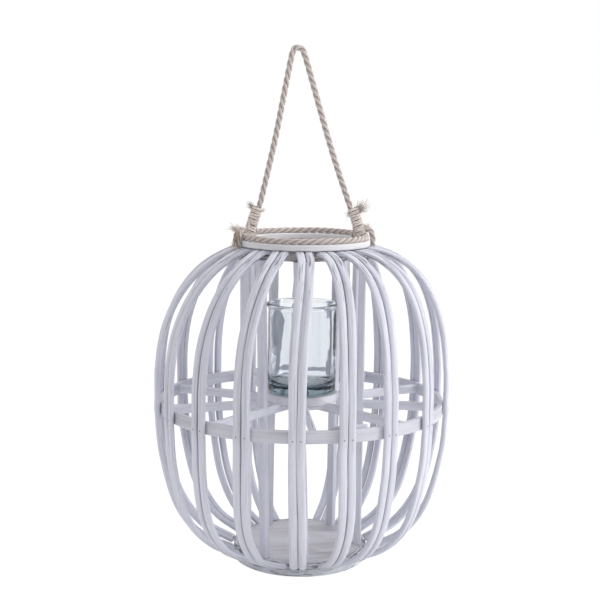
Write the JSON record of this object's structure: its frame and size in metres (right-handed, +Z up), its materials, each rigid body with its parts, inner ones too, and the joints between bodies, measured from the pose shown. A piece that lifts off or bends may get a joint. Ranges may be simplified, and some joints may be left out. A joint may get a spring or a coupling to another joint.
{
  "type": "hurricane candle lantern",
  "caption": "Round cage lantern of whitewashed paired canes on bent hoops, with a twisted rope handle and a loose glass cup for a candle on an inner shelf.",
  "frame": {"origin": "centre of the base hoop's underside, on the surface the lantern stands on", "axes": "+Z up along the lantern's axis, -Y to the front as pictured, +X to the right"},
  "size_m": [0.3952, 0.3976, 0.6895],
  "materials": {
    "white_cane": "thin white paint over cane, rubbed through in places",
    "white_wood": "thin white paint over softwood, matt",
    "board_wood": "thin grey-white wash, grain showing",
    "rope": "undyed three-strand twisted rope",
    "twine": "thin natural twine, wound tight",
    "clear_glass": "clear pressed glass with a green edge"
  },
  "bodies": {
    "lantern": {"base_ring": "white_wood", "base_board": "board_wood", "rib_pair_01": "white_cane", "rib_pair_02": "white_cane", "rib_pair_03": "white_cane", "rib_pair_04": "white_cane", "rib_pair_05": "white_cane", "rib_pair_06": "white_cane", "rib_pair_07": "white_cane", "rib_pair_08": "white_cane", "rib_pair_09": "white_cane", "rib_pair_10": "white_cane", "rib_pair_11": "white_cane", "rib_pair_12": "white_cane", "rib_pair_13": "white_cane", "rib_pair_14": "white_cane", "rib_pair_15": "white_cane", "rib_pair_16": "white_cane", "rib_pair_17": "white_cane", "rib_pair_18": "white_cane", "mid_hoop": "white_wood", "post_1": "white_wood", "post_2": "white_wood", "post_3": "white_wood", "post_4": "white_wood", "post_5": "white_wood", "post_6": "white_wood", "post_7": "white_wood", "post_8": "white_wood", "post_9": "white_wood", "spoke_1": "white_wood", "spoke_2": "white_wood", "spoke_3": "white_wood", "spoke_4": "white_wood", "spoke_5": "white_wood", "spoke_6": "white_wood", "spoke_7": "white_wood", "spoke_8": "white_wood", "spoke_9": "white_wood", "shelf_board": "board_wood", "neck_ring": "white_wood", "top_hoop": "white_wood", "rope_ring": "rope", "left_rope_eye": "rope", "right_rope_eye": "rope"},
    "glass": {"glass_cup": "clear_glass"},
    "handle": {"handle_rope": "rope", "left_rope_tail": "rope", "right_rope_tail": "rope", "left_binding": "twine", "right_binding": "twine"}
  },
  "joints": [
    {"name": "handle_swing", "type": "hinge", "parent": "lantern", "child": "handle", "pos_m": [0, 0, 0.455], "axis": [0.9991, 0.0419, 0], "range_deg": [-80, 80]},
    {"name": "glass_lift", "type": "slide", "parent": "lantern", "child": "glass", "axis": [0, 0, 1], "range_m": [0, 0.14]}
  ]
}
